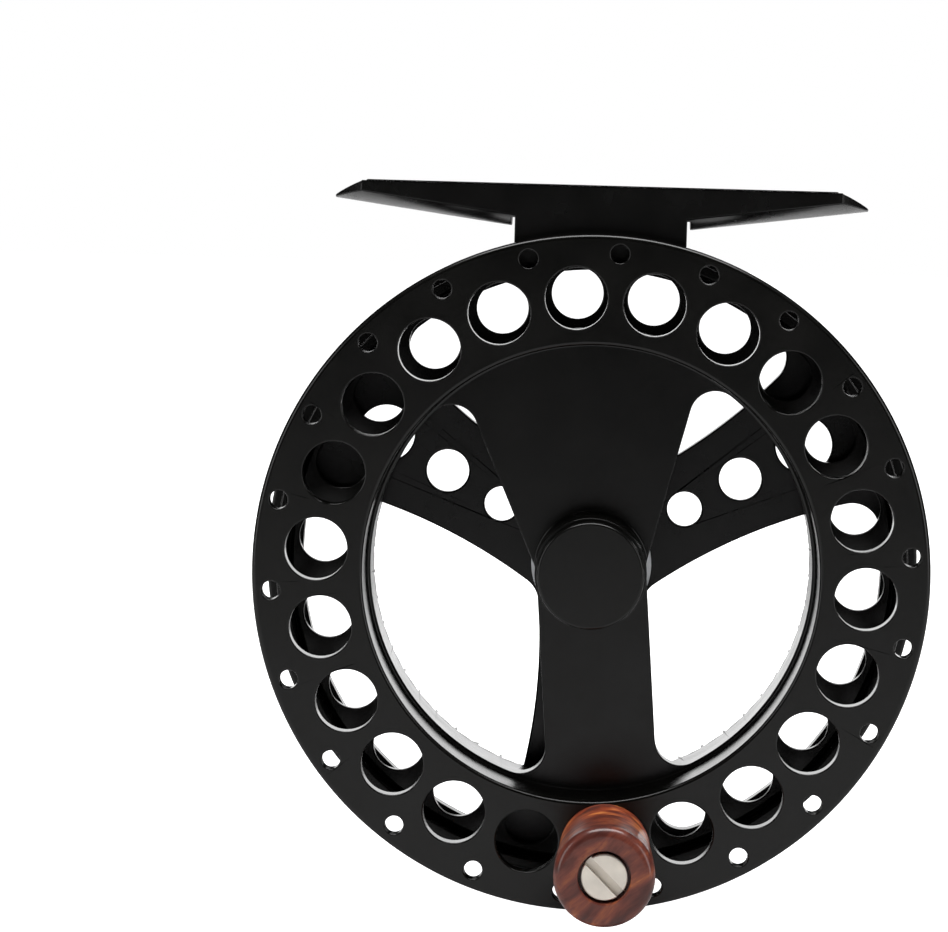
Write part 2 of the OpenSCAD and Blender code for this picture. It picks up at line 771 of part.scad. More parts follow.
module at_handle() on_spool() translate([0, -hole_ring_r, 0]) children();

module handle_screw() {
    color("silver") at_handle() difference() {
        union() {
            translate([0, 0, flange_back_z + 0.2])
                cylinder(r = handle_screw_r, h = handle_head_z - flange_back_z);
            translate([0, 0, handle_head_z]) cylinder(r = handle_head_r, h = handle_head_t);
        }
        rotate(slot_angle) translate([0, 0, handle_head_z + handle_head_t])
            cube([4 * handle_head_r, slot_w, 1.4], center = true);
    }
}

module handle_sleeve() {
    color("silver") at_handle() ring(handle_sleeve_r, handle_screw_r + fixed_fit, front_z, handle_head_z);
}

// Wooden knob: a slim waist at the flange that swells to a rounded end
module handle_knob() {
    steps = 12;
    bore = handle_sleeve_r + run_fit;
    swell_len = handle_len - handle_round;
    color("#7a3320") at_handle() rotate_extrude() polygon(concat(
        [[bore, handle_base_z], [handle_base_r - 0.4, handle_base_z], [handle_base_r, handle_base_z + 0.4]],
        [for (i = [1:steps])
            let (t = i / steps)
            [handle_base_r + (handle_r - handle_base_r) * (1 - cos(180 * t)) / 2,
                handle_base_z + 0.4 + (swell_len - 0.4) * t]],
        [for (a = [15:15:90])
            [handle_r - handle_round * (1 - cos(a)), handle_end_z - handle_round * (1 - sin(a))]],
        [[head_pocket_r, handle_end_z], [head_pocket_r, handle_head_z - face_gap],
            [bore, handle_head_z - face_gap]]
    ));
}

frame();
reel_foot();
foot_screws();
drag_cup();
drag_cone();
clutch_shell();
clutch_rollers();
spindle();
spindle_washer();
spindle_nut();
hub_sleeve();
rear_bearing_inner();
rear_bearing_balls();
rear_bearing_outer();
bearing_spacer();
front_bearing_inner();
front_bearing_balls();
front_bearing_outer();
bearing_circlip();
spool_ring();
spool();
hub_cap();
cap_ring();
handle_screw();
handle_sleeve();
handle_knob();
spring_washers();
drag_knob();
knob_insert();
knob_cap();
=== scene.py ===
# Large-arbor fly reel, put together in the order a maker would: frame, foot, drag, hub, spool,
# cap, handle and drag knob. Each new piece is shaped on the bench in millimetres, with the spool
# axis standing up and the handle side on top, and is then seated in the reel, which is in metres.
import math

import bmesh
import bpy
from mathutils import Matrix, Vector


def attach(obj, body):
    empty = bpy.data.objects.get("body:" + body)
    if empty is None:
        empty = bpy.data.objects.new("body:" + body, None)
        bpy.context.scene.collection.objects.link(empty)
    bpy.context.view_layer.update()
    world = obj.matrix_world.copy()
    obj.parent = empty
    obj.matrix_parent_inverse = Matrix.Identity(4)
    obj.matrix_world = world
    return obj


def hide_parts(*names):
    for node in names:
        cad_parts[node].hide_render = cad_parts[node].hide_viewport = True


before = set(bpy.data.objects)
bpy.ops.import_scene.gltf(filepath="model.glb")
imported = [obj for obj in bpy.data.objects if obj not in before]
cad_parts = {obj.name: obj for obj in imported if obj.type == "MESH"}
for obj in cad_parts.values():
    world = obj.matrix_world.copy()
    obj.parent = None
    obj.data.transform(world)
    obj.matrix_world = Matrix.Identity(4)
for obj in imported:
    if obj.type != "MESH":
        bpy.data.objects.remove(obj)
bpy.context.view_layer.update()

# ---- Frame ----
# One-sided frame milled from a single aluminium billet: a back plate cut to three hollow-sided
# spokes, each with a pocket and three round holes, and a thin skirt that runs round the spool's
# rear flange and rises into a bridge under the foot. Black anodised all over.
MM = 0.001
AXIS_DROP = 45.9
PLATE_FRONT, PLATE_REAR = -10.2, -13.2
SKIRT_IN, SKIRT_OUT, SKIRT_FRONT = 38.9, 40.2, -5.5
FRAME_R, WINDOW_R, BRIDGE_R, BRIDGE_HALF, BRIDGE_FRONT = 41.6, 37.0, 41.2, 10.7, 6.75
WAIST_AT, SIDE_R, WAIST_HALF = 12.0, 72.0, 6.4
SPOKES = (30, 150, 270)


def let_go():
    for thing in bpy.context.selected_objects:
        thing.select_set(False)


def take(piece):
    let_go()
    piece.select_set(True)
    bpy.context.view_layer.objects.active = piece
    return piece


def tidy_shell():
    """In edit mode: closes the seam and the poles, and turns every face outwards."""
    bpy.ops.mesh.select_all(action="SELECT")
    bpy.ops.mesh.remove_doubles(threshold=0.0004)
    bpy.ops.mesh.dissolve_degenerate(threshold=0.0002)
    bpy.ops.mesh.select_all(action="SELECT")
    bpy.ops.mesh.delete_loose(use_verts=True, use_edges=True, use_faces=False)
    bpy.ops.mesh.select_all(action="SELECT")
    bpy.ops.mesh.normals_make_consistent(inside=False)


def eased(corners, steps=4):
    """A closed outline of (a, b, radius) corners, each one rounded to its radius."""
    points = []
    for i, (x, y, radius) in enumerate(corners):
        here = Vector((x, y))
        back = (Vector(corners[i - 1][:2]) - here).normalized()
        on = (Vector(corners[(i + 1) % len(corners)][:2]) - here).normalized()
        if radius <= 0:
            points.append(tuple(here))
            continue
        half = back.angle(on) / 2
        reach = radius / math.tan(half)
        centre = here + (back + on).normalized() * (radius / math.sin(half))
        first, last = here + back * reach - centre, here + on * reach - centre
        sweep = first.angle_signed(last)
        for k in range(steps + 1):
            a = -sweep * k / steps
            points.append(
                (
                    centre.x + first.x * math.cos(a) - first.y * math.sin(a),
                    centre.y + first.x * math.sin(a) + first.y * math.cos(a),
                )
            )
    return points


def place(piece, matrix):
    """Sets a piece down by a matrix, and leaves its object at the origin."""
    piece.matrix_world = matrix
    take(piece)
    bpy.ops.object.transform_apply(location=True, rotation=True, scale=True)
    return piece


def loop_of(name, points):
    """A closed wire through the given (x, y, z) points."""
    let_go()
    bpy.ops.mesh.primitive_circle_add(vertices=len(points), radius=1)
    piece = bpy.context.object
    piece.name = piece.data.name = name
    for vertex, point in zip(piece.data.vertices, points):
        vertex.co = point
    return piece


def turned(name, profile, steps=192):
    """Turned round the spool axis from a closed profile of (radius, station) points."""
    piece = loop_of(name, [(r, 0, z) for r, z in profile])
    bpy.ops.object.mode_set(mode="EDIT")
    bpy.ops.mesh.select_all(action="SELECT")
    bpy.ops.mesh.spin(
        steps=steps, angle=2 * math.pi, center=(0, 0, 0), axis=(0, 0, 1)
    )
    tidy_shell()
    bpy.ops.object.mode_set(mode="OBJECT")
    return piece


def slab(name, points, low, high):
    """A flat outline of (x, y) points made solid between two stations."""
    piece = loop_of(name, [(x, y, low) for x, y in points])
    bpy.ops.object.mode_set(mode="EDIT")
    bpy.ops.mesh.select_all(action="SELECT")
    bpy.ops.mesh.edge_face_add()
    bpy.ops.mesh.extrude_region_move(
        TRANSFORM_OT_translate={"value": (0, 0, high - low)}
    )
    tidy_shell()
    bpy.ops.object.mode_set(mode="OBJECT")
    return piece


def block(name, x0, x1, y0, y1, low, high):
    """A square-cornered block."""
    return slab(name, [(x0, y0), (x1, y0), (x1, y1), (x0, y1)], low, high)


def bounded(edges, fillet, pitch=1.0):
    """Closed outline inside discs (x, y, radius, 1) and outside discs (x, y, radius, -1), taken
    in order round the outline, with every corner filleted."""
    centres = []
    for i, (ax, ay, ar, a_in) in enumerate(edges):
        bx, by, br, b_in = edges[(i + 1) % len(edges)]
        ra, rb = ar - a_in * fillet, br - b_in * fillet
        d = math.hypot(bx - ax, by - ay)
        along = (ra * ra - rb * rb + d * d) / (2 * d)
        off = math.sqrt(max(0, ra * ra - along * along))
        ux, uy = (bx - ax) / d, (by - ay) / d
        tries = [
            Vector((ax + along * ux - s * off * uy, ay + along * uy + s * off * ux))
            for s in (1, -1)
        ]
        centres.append(
            max(
                tries,
                key=lambda c: min(
                    inside * (r - math.hypot(c.x - x, c.y - y))
                    for x, y, r, inside in edges
                ),
            )
        )

    def arc(middle, start, end):
        first, last = start - middle, end - middle
        sweep = -first.angle_signed(last)
        radius = first.length
        count = max(1, math.ceil(abs(sweep) * radius / (pitch if radius > 9 else 0.45)))
        if radius > 5000:
            count = 1
        for k in range(count):
            a = sweep * k / count
            yield (
                middle.x + first.x * math.cos(a) - first.y * math.sin(a),
                middle.y + first.x * math.sin(a) + first.y * math.cos(a),
            )

    points = []
    for i, (x, y, r, _) in enumerate(edges):
        disc, after = Vector((x, y)), Vector(edges[(i + 1) % len(edges)][:2])
        start = disc + (centres[i - 1] - disc).normalized() * r
        end = disc + (centres[i] - disc).normalized() * r
        leave = (
            after
            + (centres[i] - after).normalized() * edges[(i + 1) % len(edges)][2]
        )
        points += arc(disc, start, end)
        points += arc(centres[i], end, leave)
    return points


def pin(radius, x, y, low, high, sides=56):
    """A plain round pin standing at (x, y)."""
    let_go()
    bpy.ops.mesh.primitive_cylinder_add(
        vertices=sides,
        radius=radius,
        depth=high - low,
        location=(x, y, (low + high) / 2),
    )
    piece = take(bpy.context.object)
    bpy.ops.object.transform_apply(location=True, rotation=True, scale=True)
    return piece


def round_the_axis(piece, count, pitch):
    """The shape again every pitch degrees round the spool axis, count of them in all."""
    take(piece)
    bpy.ops.object.mode_set(mode="EDIT")
    bpy.ops.mesh.select_all(action="SELECT")
    bpy.ops.mesh.spin(
        steps=count - 1,
        dupli=True,
        angle=-math.radians((count - 1) * pitch),
        center=(0, 0, 0),
        axis=(0, 0, 1),
        use_auto_merge=False,
    )
    bpy.ops.object.mode_set(mode="OBJECT")
    return piece


def turn(piece, degrees, axis="Z"):
    return place(
        piece, Matrix.Rotation(math.radians(degrees), 4, axis) @ piece.matrix_world
    )


def gather(pieces):
    """One object from several that don't touch."""
    take(pieces[0])
    for piece in pieces:
        piece.select_set(True)
    bpy.ops.object.join()
    return pieces[0]


def work(piece, tool, how="DIFFERENCE"):
    """Cuts, joins or trims a piece with a tool, and puts the tool away."""
    step = piece.modifiers.new("work", "BOOLEAN")
    step.operation, step.solver, step.object = how, "EXACT", tool
    take(piece)
    bpy.ops.object.modifier_apply(modifier="work")
    bpy.data.objects.remove(tool)
    return piece


def break_edges(piece, width, steps=3, least=28, where=lambda middle: True):
    """Rounds the outward edges sharper than least degrees whose middle passes the test."""
    take(piece)
    bpy.ops.object.mode_set(mode="EDIT")
    bpy.ops.mesh.select_mode(type="EDGE")
    bpy.ops.mesh.select_all(action="DESELECT")
    mesh = bmesh.from_edit_mesh(piece.data)
    chosen = 0
    for edge in mesh.edges:
        if edge.is_manifold and edge.calc_face_angle_signed(0) > math.radians(least):
            if where((edge.verts[0].co + edge.verts[1].co) / 2):
                edge.select_set(True)
                chosen += 1
    bmesh.update_edit_mesh(piece.data)
    if chosen:
        bpy.ops.mesh.bevel(
            offset=width, segments=steps, profile=0.5, clamp_overlap=False
        )
    bpy.ops.mesh.select_mode(type="VERT")
    bpy.ops.object.mode_set(mode="OBJECT")
    return piece


def finish_surface(piece, material, angle=40):
    """Smooth curves, true flats, and the piece's one material."""
    take(piece)
    bpy.ops.object.shade_smooth_by_angle(angle=math.radians(angle))
    bpy.ops.object.mode_set(mode="EDIT")
    mesh = bmesh.from_edit_mesh(piece.data)
    for edge in mesh.edges:
        flat = [abs(face.normal.z) > 0.9999 for face in edge.link_faces]
        if any(flat) and not all(flat):
            edge.smooth = False
    bmesh.update_edit_mesh(piece.data)
    bpy.ops.object.mode_set(mode="OBJECT")
    even = piece.modifiers.new("even", "WEIGHTED_NORMAL")
    even.keep_sharp, even.weight = True, 60
    bpy.ops.object.modifier_apply(modifier="even")
    piece.data.materials.clear()
    piece.data.materials.append(material)
    return piece


def seat(piece, lean=0):
    """From the bench to its place in the reel, in metres."""
    return place(
        piece,
        Matrix.Translation((0, 0, -AXIS_DROP * MM))
        @ Matrix.Rotation(math.radians(90), 4, "X")
        @ Matrix.Rotation(math.radians(lean), 4, "Z")
        @ Matrix.Scale(MM, 4),
    )


def node_of(tree, kind, **values):
    node = tree.nodes.new(kind)
    for name, value in values.items():
        if name in node.inputs:
            node.inputs[name].default_value = value
        else:
            setattr(node, name, value)
    return node


def ramp(tree, *stops):
    """Colours by position along a ramp."""
    node = tree.nodes.new("ShaderNodeValToRGB")
    marks = node.color_ramp.elements
    while len(marks) < len(stops):
        marks.new(0.5)
    for mark, (position, colour) in zip(marks, stops):
        mark.position = position
    for mark, (position, colour) in zip(marks, stops):
        mark.color = (*colour, 1)
    return node


def anodised(name, dark, light, rough, satin=0.03):
    """Black anodised aluminium: a cloudy dye, and a fine satin tooth left by the blasting."""
    material = bpy.data.materials.new(name)
    material.use_nodes = True
    tree = material.node_tree
    shader = tree.nodes["Principled BSDF"]
    shader.inputs["Metallic"].default_value = 0.0
    shader.inputs["IOR"].default_value = 1.5
    shader.inputs["Specular IOR Level"].default_value = 0.3
    place = node_of(tree, "ShaderNodeTexCoord")
    cloud = node_of(tree, "ShaderNodeTexNoise", Scale=140.0, Detail=4.0, Roughness=0.6)
    tree.links.new(place.outputs["Object"], cloud.inputs["Vector"])
    dye = ramp(tree, (0.3, dark), (0.75, light))
    tree.links.new(cloud.outputs["Fac"], dye.inputs["Fac"])
    tree.links.new(dye.outputs["Color"], shader.inputs["Base Color"])
    tooth = node_of(tree, "ShaderNodeTexNoise", Scale=9000.0, Detail=2.0, Roughness=0.5)
    tree.links.new(place.outputs["Object"], tooth.inputs["Vector"])
    gloss = node_of(
        tree,
        "ShaderNodeMapRange",
        **{"From Min": 0.3, "From Max": 0.7, "To Min": rough * 0.85, "To Max": rough * 1.2}
    )
    tree.links.new(cloud.outputs["Fac"], gloss.inputs["Value"])
    tree.links.new(gloss.outputs["Result"], shader.inputs["Roughness"])
    bump = node_of(tree, "ShaderNodeBump", Strength=satin, Distance=0.00002)
    tree.links.new(tooth.outputs["Fac"], bump.inputs["Height"])
    tree.links.new(bump.outputs["Normal"], shader.inputs["Normal"])
    return material


frame_black = anodised(
    "anodised_frame", (0.0011, 0.0011, 0.001), (0.0022, 0.0021, 0.0018), 0.25
)

blank = eased(
    [
        (1, PLATE_REAR, 0),
        (FRAME_R, PLATE_REAR, 0.6),
        (FRAME_R, PLATE_FRONT, 0.35),
        (BRIDGE_R, PLATE_FRONT, 0),
        (BRIDGE_R, BRIDGE_FRONT, 0),
        (SKIRT_IN, BRIDGE_FRONT, 0),
        (SKIRT_IN, PLATE_FRONT, 0.6),
        (5.02, PLATE_FRONT, 0),
        (5.02, -12, 0),
        (1, -12, 0),
    ]
)
reel_frame = turned("reel_frame", blank)

# everything of the tall blank goes but the skirt and the bridge
trim = turned(
    "trim",
    [
        (SKIRT_OUT, PLATE_FRONT),
        (46, PLATE_FRONT),
        (46, 9),
        (36, 9),
        (36, SKIRT_FRONT),
        (SKIRT_OUT, SKIRT_FRONT),
    ],
)
work(trim, block("keep", -BRIDGE_HALF, BRIDGE_HALF, 20, 60, PLATE_FRONT - 2, 20))
work(reel_frame, trim)

# round hole with two flats that keeps the spindle from turning; the side of a disc as large as
# LONG is straight
LONG = 20000
BORE, FLAT_HALF = 2.05, 1.65
flats = [
    (0, 0, BORE, 1),
    (FLAT_HALF - LONG, 0, LONG, 1),
    (0, 0, BORE, 1),
    (LONG - FLAT_HALF, 0, LONG, 1),
]
work(reel_frame, slab("flatted_hole", bounded(flats, 0.05), -15, -11))


def beside_spoke(angle, side, extra=0):
    """The disc that hollows one side of the spoke at this angle."""
    a = math.radians(angle)
    far = side * (WAIST_HALF + SIDE_R)
    x = WAIST_AT * math.cos(a) - far * math.sin(a)
    y = WAIST_AT * math.sin(a) + far * math.cos(a)
    return x, y, SIDE_R + extra


window = bounded(
    [
        (0, 0, WINDOW_R, 1),
        (*beside_spoke(SPOKES[1], -1), 1),
        (*beside_spoke(SPOKES[0], 1), 1),
    ],
    3.5,
)
work(reel_frame, round_the_axis(slab("window", window, -15, -8), 3, 120))

POCKET_R, POCKET_WALL, POCKET_FOOT = 37.5, 2.1, 6.3
pocket = bounded(
    [
        (0, 0, POCKET_R, 1),
        (*beside_spoke(0, 1, POCKET_WALL), -1),
        (POCKET_FOOT + LONG, 0, LONG, 1),
        (*beside_spoke(0, -1, POCKET_WALL), -1),
    ],
    2.5,
)
pocket_tool = slab("pocket", pocket, -15, PLATE_REAR + 1.5)
break_edges(pocket_tool, 0.7, 4, 60, lambda middle: middle.z > PLATE_REAR)
work(reel_frame, turn(round_the_axis(pocket_tool, 3, 120), SPOKES[0]))
SPOKE_HOLES = ((3.6, 30.8), (2.7, 21.6), (2.2, 13.5))
spoke_pins = [pin(radius, at, 0, -15, -8, 64) for radius, at in SPOKE_HOLES]
work(reel_frame, turn(round_the_axis(gather(spoke_pins), 3, 120), SPOKES[0]))
break_edges(
    reel_frame,
    0.22,
    3,
    40,
    lambda middle: 6 < middle.xy.length < BRIDGE_R + 0.2 and middle.z < BRIDGE_FRONT + 0.1,
)

# the two countersunk holes for the screws up into the foot
SCREW_SPOTS = (-5, 5)
for x in SCREW_SPOTS:
    screw_hole = turned(
        "screw_hole",
        [(0, 30), (2.75, 30), (2.75, 39.05), (1.55, 40.25), (1.55, 44), (0, 44)],
        48,
    )
    turn(screw_hole, -90, "X")
    work(reel_frame, place(screw_hole, Matrix.Translation((x, 0, 0))))

finish_surface(reel_frame, frame_black)
seat(reel_frame)
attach(reel_frame, "frame")
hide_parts("frame")

# ---- Foot ----
# Foot that the rod's reel seat clamps, milled and black anodised: two wings that thin towards
# rounded tips, hollowed along the top to the rod's curve, on a neck with a narrow relief slot each
# side. It stands on the frame's bridge, held by two countersunk screws from inside the skirt.
FOOT_HALF, FOOT_SIDE, SADDLE_R, TIP_R, TIP_T = 33.4, 6.75, 12.9, 8.13, 0.4
UNDER_R, WING_LEAN, NECK_FLOOR = 16.435, 7.527, -6.7
RELIEF_AT, RELIEF_HALF = 10.925, 0.225


def rod(radius, length, sides=256):
    """A plain rod along the foot."""
    let_go()
    bpy.ops.mesh.primitive_cylinder_add(
        vertices=sides, radius=radius, depth=length, rotation=(0, math.radians(90), 0)
    )
    piece = take(bpy.context.object)
    bpy.ops.object.transform_apply(location=True, rotation=True, scale=True)
    return piece


def wing(side):
    """One wing, from just past the middle of the neck to its tip."""
    corner = math.asin(FOOT_SIDE / TIP_R)
    tip = [
        (
            FOOT_HALF - TIP_R + TIP_R * math.cos(corner * (k / 16 - 1)),
            TIP_R * math.sin(corner * (k / 16 - 1)),
        )
        for k in range(33)
    ]
    plan = [(-1, -FOOT_SIDE)] + tip + [(-1, FOOT_SIDE)]
    side_top = SADDLE_R - math.sqrt(SADDLE_R**2 - FOOT_SIDE**2)
    shape = slab("wing", [(side * x, y) for x, y in plan], -12, side_top)
    underside = place(
        rod(UNDER_R, 200),
        Matrix.Translation((side * FOOT_HALF, 0, -TIP_T))
        @ Matrix.Rotation(math.radians(-side * WING_LEAN), 4, "Y")
        @ Matrix.Translation((0, 0, UNDER_R)),
    )
    return work(shape, underside, "INTERSECT")


reel_foot = block(
    "reel_foot", -BRIDGE_HALF, BRIDGE_HALF, -FOOT_SIDE, FOOT_SIDE, NECK_FLOOR, 0.4
)
bridge_top = pin(BRIDGE_R, 0, 0, -10, 10, 192)
to_axis = Matrix.Translation((0, 0, -AXIS_DROP)) @ Matrix.Rotation(math.radians(90), 4, "X")
work(reel_foot, place(bridge_top, to_axis))
for side in (1, -1):
    work(reel_foot, wing(side), "UNION")
work(reel_foot, place(rod(SADDLE_R, 140, 360), Matrix.Translation((0, 0, SADDLE_R))))
for side in (1, -1):
    x = side * RELIEF_AT
    work(
        reel_foot,
        block("relief", x - RELIEF_HALF, x + RELIEF_HALF, -9, 9, -4.6, -2.2),
    )
work(reel_foot, gather([pin(1.52, x, 0, -9, -1.6, 32) for x in SCREW_SPOTS]))
break_edges(reel_foot, 0.14, 3, 24, lambda middle: middle.z > NECK_FLOOR + 1.2)
foot_black = anodised(
    "anodised_foot", (0.001, 0.001, 0.0009), (0.0019, 0.0018, 0.0016), 0.25
)
finish_surface(reel_foot, foot_black, 35)
place(reel_foot, Matrix.Scale(MM, 4))
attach(reel_foot, "frame")
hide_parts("reel_foot")


# ---- Foot screws, drag and spindle ----
# Stainless screws with hexagon sockets; a clear-anodised cup pressed into the back plate, a white
# acetal cone with its roller clutch inside it, the fixed spindle with its washer and nut.
def machined(name, colour, rough, metal=1.0, pitch=2600.0, depth=0.12, centre=None):
    """Turned metal: fine tool rings round the centre it was turned on, and a little tarnish."""
    material = bpy.data.materials.new(name)
    material.use_nodes = True
    tree = material.node_tree
    shader = tree.nodes["Principled BSDF"]
    shader.inputs["Metallic"].default_value = metal
    place_in = node_of(tree, "ShaderNodeTexCoord")
    shift = node_of(tree, "ShaderNodeMapping")
    spot = centre or (0, 0, -AXIS_DROP * MM)
    shift.inputs["Location"].default_value = tuple(-v for v in spot)
    tree.links.new(place_in.outputs["Object"], shift.inputs["Vector"])
    split = node_of(tree, "ShaderNodeSeparateXYZ")
    tree.links.new(shift.outputs["Vector"], split.inputs["Vector"])
    flat = node_of(tree, "ShaderNodeCombineXYZ")
    tree.links.new(split.outputs["X"], flat.inputs["X"])
    tree.links.new(split.outputs["Z"], flat.inputs["Y"])
    radius = node_of(tree, "ShaderNodeVectorMath", operation="LENGTH")
    tree.links.new(flat.outputs["Vector"], radius.inputs[0])
    add = node_of(tree, "ShaderNodeMath", operation="ADD")
    tree.links.new(radius.outputs["Value"], add.inputs[0])
    tree.links.new(split.outputs["Y"], add.inputs[1])
    rings = node_of(tree, "ShaderNodeTexNoise", noise_dimensions="1D", Scale=pitch, Detail=3.0)
    tree.links.new(add.outputs["Value"], rings.inputs["W"])
    cloud = node_of(tree, "ShaderNodeTexNoise", Scale=350.0, Detail=3.0)
    tree.links.new(place_in.outputs["Object"], cloud.inputs["Vector"])
    tone = ramp(
        tree, (0.3, [v * 0.86 for v in colour]), (0.7, [min(1, v * 1.08) for v in colour])
    )
    tree.links.new(cloud.outputs["Fac"], tone.inputs["Fac"])
    tree.links.new(tone.outputs["Color"], shader.inputs["Base Color"])
    gloss = node_of(
        tree,
        "ShaderNodeMapRange",
        **{"To Min": rough * 0.7, "To Max": min(1.0, rough * 1.35)},
    )
    tree.links.new(rings.outputs["Fac"], gloss.inputs["Value"])
    tree.links.new(gloss.outputs["Result"], shader.inputs["Roughness"])
    bump = node_of(tree, "ShaderNodeBump", Strength=depth, Distance=0.00003)
    tree.links.new(rings.outputs["Fac"], bump.inputs["Height"])
    tree.links.new(bump.outputs["Normal"], shader.inputs["Normal"])
    return material


def dress(name, material):
    """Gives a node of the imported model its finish."""
    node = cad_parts[name]
    node.data.materials.clear()
    node.data.materials.append(material)


stainless = machined("turned_stainless", (0.62, 0.6, 0.57), 0.28)
ground_steel = machined("ground_steel", (0.66, 0.66, 0.67), 0.16, depth=0.05)
clear_anodised = machined("clear_anodised", (0.6, 0.61, 0.63), 0.34)
for name in ("foot_screws", "spindle", "spindle_washer", "spindle_nut"):
    dress(name, stainless)
for name in ("clutch_shell", "clutch_rollers"):
    dress(name, ground_steel)
dress("drag_cup", clear_anodised)


def moulded(name, colour, rough, grain=1800.0):
    """Plastic or rubber: nearly even colour, a slight cloudiness and a fine skin."""
    material = bpy.data.materials.new(name)
    material.use_nodes = True
    tree = material.node_tree
    shader = tree.nodes["Principled BSDF"]
    place_in = node_of(tree, "ShaderNodeTexCoord")
    cloud = node_of(tree, "ShaderNodeTexNoise", Scale=grain, Detail=4.0)
    tree.links.new(place_in.outputs["Object"], cloud.inputs["Vector"])
    tone = ramp(tree, (0.3, [v * 0.88 for v in colour]), (0.7, colour))
    tree.links.new(cloud.outputs["Fac"], tone.inputs["Fac"])
    tree.links.new(tone.outputs["Color"], shader.inputs["Base Color"])
    gloss = node_of(
        tree, "ShaderNodeMapRange", **{"To Min": rough * 0.85, "To Max": rough * 1.15}
    )
    tree.links.new(cloud.outputs["Fac"], gloss.inputs["Value"])
    tree.links.new(gloss.outputs["Result"], shader.inputs["Roughness"])
    bump = node_of(tree, "ShaderNodeBump", Strength=0.08, Distance=0.00003)
    tree.links.new(cloud.outputs["Fac"], bump.inputs["Height"])
    tree.links.new(bump.outputs["Normal"], shader.inputs["Normal"])
    return material


dress("drag_cone", moulded("white_acetal", (0.78, 0.76, 0.7), 0.38))

# ---- Hub sleeve and bearings ----
# Turned sleeve that carries the spool on two small ball bearings, a spacer between them, a spring
# ring in front, and a rubber ring round the sleeve that grips the spool's bore.
for name in (
    "rear_bearing_inner",
    "rear_bearing_balls",
    "rear_bearing_outer",
    "front_bearing_inner",
    "front_bearing_balls",
    "front_bearing_outer",
    "bearing_circlip",
):
    dress(name, ground_steel)
for name in ("hub_sleeve", "bearing_spacer"):
    dress(name, clear_anodised)
nitrile = moulded("nitrile", (0.02, 0.02, 0.021), 0.5, 2500.0)
dress("spool_ring", nitrile)

# ---- Spool ----
# Spool turned and milled from one aluminium billet, black anodised: a wide arbor with a step
# inside, a front flange with a ring of large holes and one of small ones at the rim, a thinner
# rear flange, a scalloped rear mouth, and a web of one narrow spoke and one counterweight fan.
LEAN = 4.6
FRONT, FLANGE_BACK, WEB_FRONT, WEB_REAR = 12.0, 9.2, 2.2, -1.0
REAR, REAR_FLANGE_FRONT = -9.4, -8.0
ARBOR, ARBOR_FRONT, ARBOR_OUT, FLANGE, REAR_FLANGE = 27.6, 28.3, 29.9, 42.0, 38.3
HUB_BORE, HUB, HUB_FRONT = 5.65, 6.95, 12.2
HOLES = 22
HOLE_RING, RIM_RING, PITCH = 34.16, 39.7, 360 / HOLES
PORT_R, RIM_HOLE_R, REAR_PORT_R, HANDLE_SCREW_R = 3.88, 1.15, 3.27, 1.52
SCALLOPS, SCALLOP_R, SCALLOP_RING = 52, 1.55, 27.95

spool = turned(
    "spool",
    eased(
        [
            (HUB_BORE, WEB_REAR, 0.2),
            (ARBOR, WEB_REAR, 0.5),
            (ARBOR, REAR, 0),
            (REAR_FLANGE, REAR, 0.3),
            (REAR_FLANGE, REAR_FLANGE_FRONT, 0.3),
            (ARBOR_OUT, REAR_FLANGE_FRONT, 0.4),
            (ARBOR_OUT, FLANGE_BACK, 0.25),
            (FLANGE, FLANGE_BACK, 0.5),
            (FLANGE, FRONT, 0.6),
            (ARBOR_FRONT, FRONT, 0.45),
            (ARBOR_FRONT, WEB_FRONT, 0.5),
            (HUB, WEB_FRONT, 0.3),
            (HUB, HUB_FRONT, 0.06),
            (HUB_BORE, HUB_FRONT, 0.2),
        ],
        6,
    ),
    240,
)

# the two windows that leave the narrow spoke and the fan
FAN_SIDE, SPOKE_HALF, WEB_WINDOW_R = math.radians(19), 6.9, 27.72
fan_centre = (SPOKE_HALF + LONG * math.cos(FAN_SIDE), -LONG * math.sin(FAN_SIDE))
right_window = bounded(
    [
        (0, 0, WEB_WINDOW_R, 1),
        (*fan_centre, LONG, 1),
        (SPOKE_HALF + LONG, 0, LONG, 1),
    ],
    3.2,
)
for side in (1, -1):
    work(
        spool,
        slab("window", [(side * x, y) for x, y in right_window], REAR - 0.6, 6),
    )

# ports: the place at the bottom of the ring is the handle's
front_ports = turn(
    round_the_axis(pin(PORT_R, HOLE_RING, 0, 8, 13, 72), HOLES - 1, PITCH), PITCH - 90
)
rim_ports = turn(
    round_the_axis(pin(RIM_HOLE_R, RIM_RING, 0, 8, 13, 32), HOLES, PITCH), PITCH / 2 - 90
)
handle_port = pin(HANDLE_SCREW_R, 0, -HOLE_RING, 8, 13, 32)
rear_ports = turn(
    round_the_axis(pin(REAR_PORT_R, HOLE_RING, 0, -11, -7, 64), HOLES, PITCH), -90
)
scallops = turn(
    round_the_axis(
        pin(SCALLOP_R, SCALLOP_RING, 0, -11, -7.4, 36), SCALLOPS, 360 / SCALLOPS
    ),
    180 / SCALLOPS,
)
work(spool, gather([front_ports, rim_ports, handle_port, rear_ports]))
work(spool, scallops)
break_edges(
    spool,
    0.16,
    3,
    50,
    lambda middle: abs(middle.xy.length - HOLE_RING) < 4.2
    or abs(middle.xy.length - RIM_RING) < 1.4
    or (REAR - 0.1 < middle.z < -7.3 and middle.xy.length < 29.8),
)
break_edges(
    spool,
    0.15,
    3,
    50,
    lambda middle: WEB_REAR - 0.2 < middle.z < 2.5 and 6.5 < middle.xy.length < 27.55,
)
